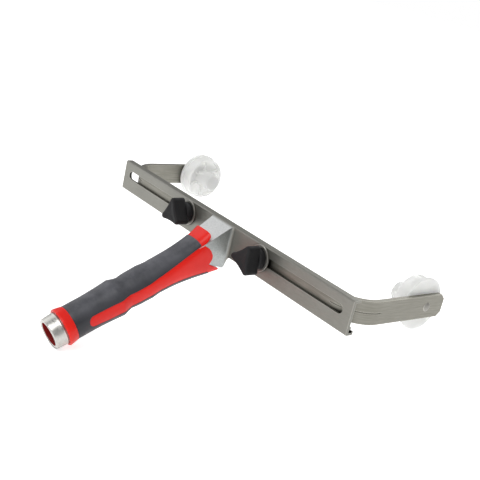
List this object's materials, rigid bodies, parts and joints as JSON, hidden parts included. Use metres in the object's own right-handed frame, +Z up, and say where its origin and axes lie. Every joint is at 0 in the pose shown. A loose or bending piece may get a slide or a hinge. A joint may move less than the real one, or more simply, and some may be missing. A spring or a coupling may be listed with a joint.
{
  "type": "adjustable two-arm paint roller frame",
  "caption": "Roller frame with a slotted cross bar, sliding bent arms clamped by three-lobed knobs, free-spinning end hubs and a ribbed two-tone handle with a threaded pole socket.",
  "frame": {"origin": "centre of the pole socket's mouth, at the butt of the handle", "axes": "+X along the slotted bar to the right seen by the user, +Y forward from the user to the roller, +Z up"},
  "size_m": [0.3077, 0.2473, 0.1072],
  "materials": {
    "cast_metal": "satin cast and linished",
    "strip_steel": "brushed",
    "plated_steel": "bright plated",
    "zinc_steel": "zinc plated",
    "red_plastic": "gloss",
    "grip_rubber": "satin",
    "knob_plastic": "fine grained",
    "hub_nylon": "translucent natural nylon"
  },
  "bodies": {
    "frame": {"head": "cast_metal", "handle_core": "red_plastic", "grip_sleeve": "grip_rubber", "ferrule": "plated_steel"},
    "left_arm_body": {"left_arm": "strip_steel", "left_stud": "zinc_steel", "left_hub_axle": "zinc_steel", "left_thrust_washer": "zinc_steel", "left_hub_clip": "zinc_steel"},
    "left_washer_body": {"left_clamp_washer": "zinc_steel"},
    "left_knob_body": {"left_knob": "knob_plastic", "left_knob_insert": "zinc_steel"},
    "left_hub_body": {"left_hub": "hub_nylon", "left_hub_cap": "hub_nylon"},
    "right_arm_body": {"right_arm": "strip_steel", "right_stud": "zinc_steel", "right_hub_axle": "zinc_steel", "right_thrust_washer": "zinc_steel", "right_hub_clip": "zinc_steel"},
    "right_washer_body": {"right_clamp_washer": "zinc_steel"},
    "right_knob_body": {"right_knob": "knob_plastic", "right_knob_insert": "zinc_steel"},
    "right_hub_body": {"right_hub": "hub_nylon", "right_hub_cap": "hub_nylon"}
  },
  "joints": [
    {"name": "left_arm_slide", "type": "slide", "parent": "frame", "child": "left_arm_body", "axis": [-1, 0, 0], "range_m": [-0.0048, 0.0932]},
    {"name": "left_washer_slide", "type": "slide", "parent": "left_arm_body", "child": "left_washer_body", "axis": [0, -1, 0], "range_m": [0, 0.0031]},
    {"name": "left_knob_turn", "type": "hinge", "parent": "left_washer_body", "child": "left_knob_body", "pos_m": [-0.047, 0.1316, 0.0753], "axis": [0, -1, 0], "range_deg": [0, 1080]},
    {"name": "left_hub_spin", "type": "hinge", "parent": "left_arm_body", "child": "left_hub_body", "pos_m": [-0.1383, 0.2211, 0.0753], "axis": [1, 0, 0], "continuous": true},
    {"name": "right_arm_slide", "type": "slide", "parent": "frame", "child": "right_arm_body", "axis": [1, 0, 0], "range_m": [-0.0091, 0.0889]},
    {"name": "right_washer_slide", "type": "slide", "parent": "right_arm_body", "child": "right_washer_body", "axis": [0, -1, 0], "range_m": [0, 0.0031]},
    {"name": "right_knob_turn", "type": "hinge", "parent": "right_washer_body", "child": "right_knob_body", "pos_m": [0.0513, 0.1316, 0.0753], "axis": [0, -1, 0], "range_deg": [0, 1080]},
    {"name": "right_hub_spin", "type": "hinge", "parent": "right_arm_body", "child": "right_hub_body", "pos_m": [0.1426, 0.2211, 0.0753], "axis": [1, 0, 0], "continuous": true}
  ],
  "couplings": [
    {"joint": "left_washer_slide", "follows": "left_knob_turn", "m_per_rad": 0.00015915},
    {"joint": "right_washer_slide", "follows": "right_knob_turn", "m_per_rad": 0.00015915}
  ]
}
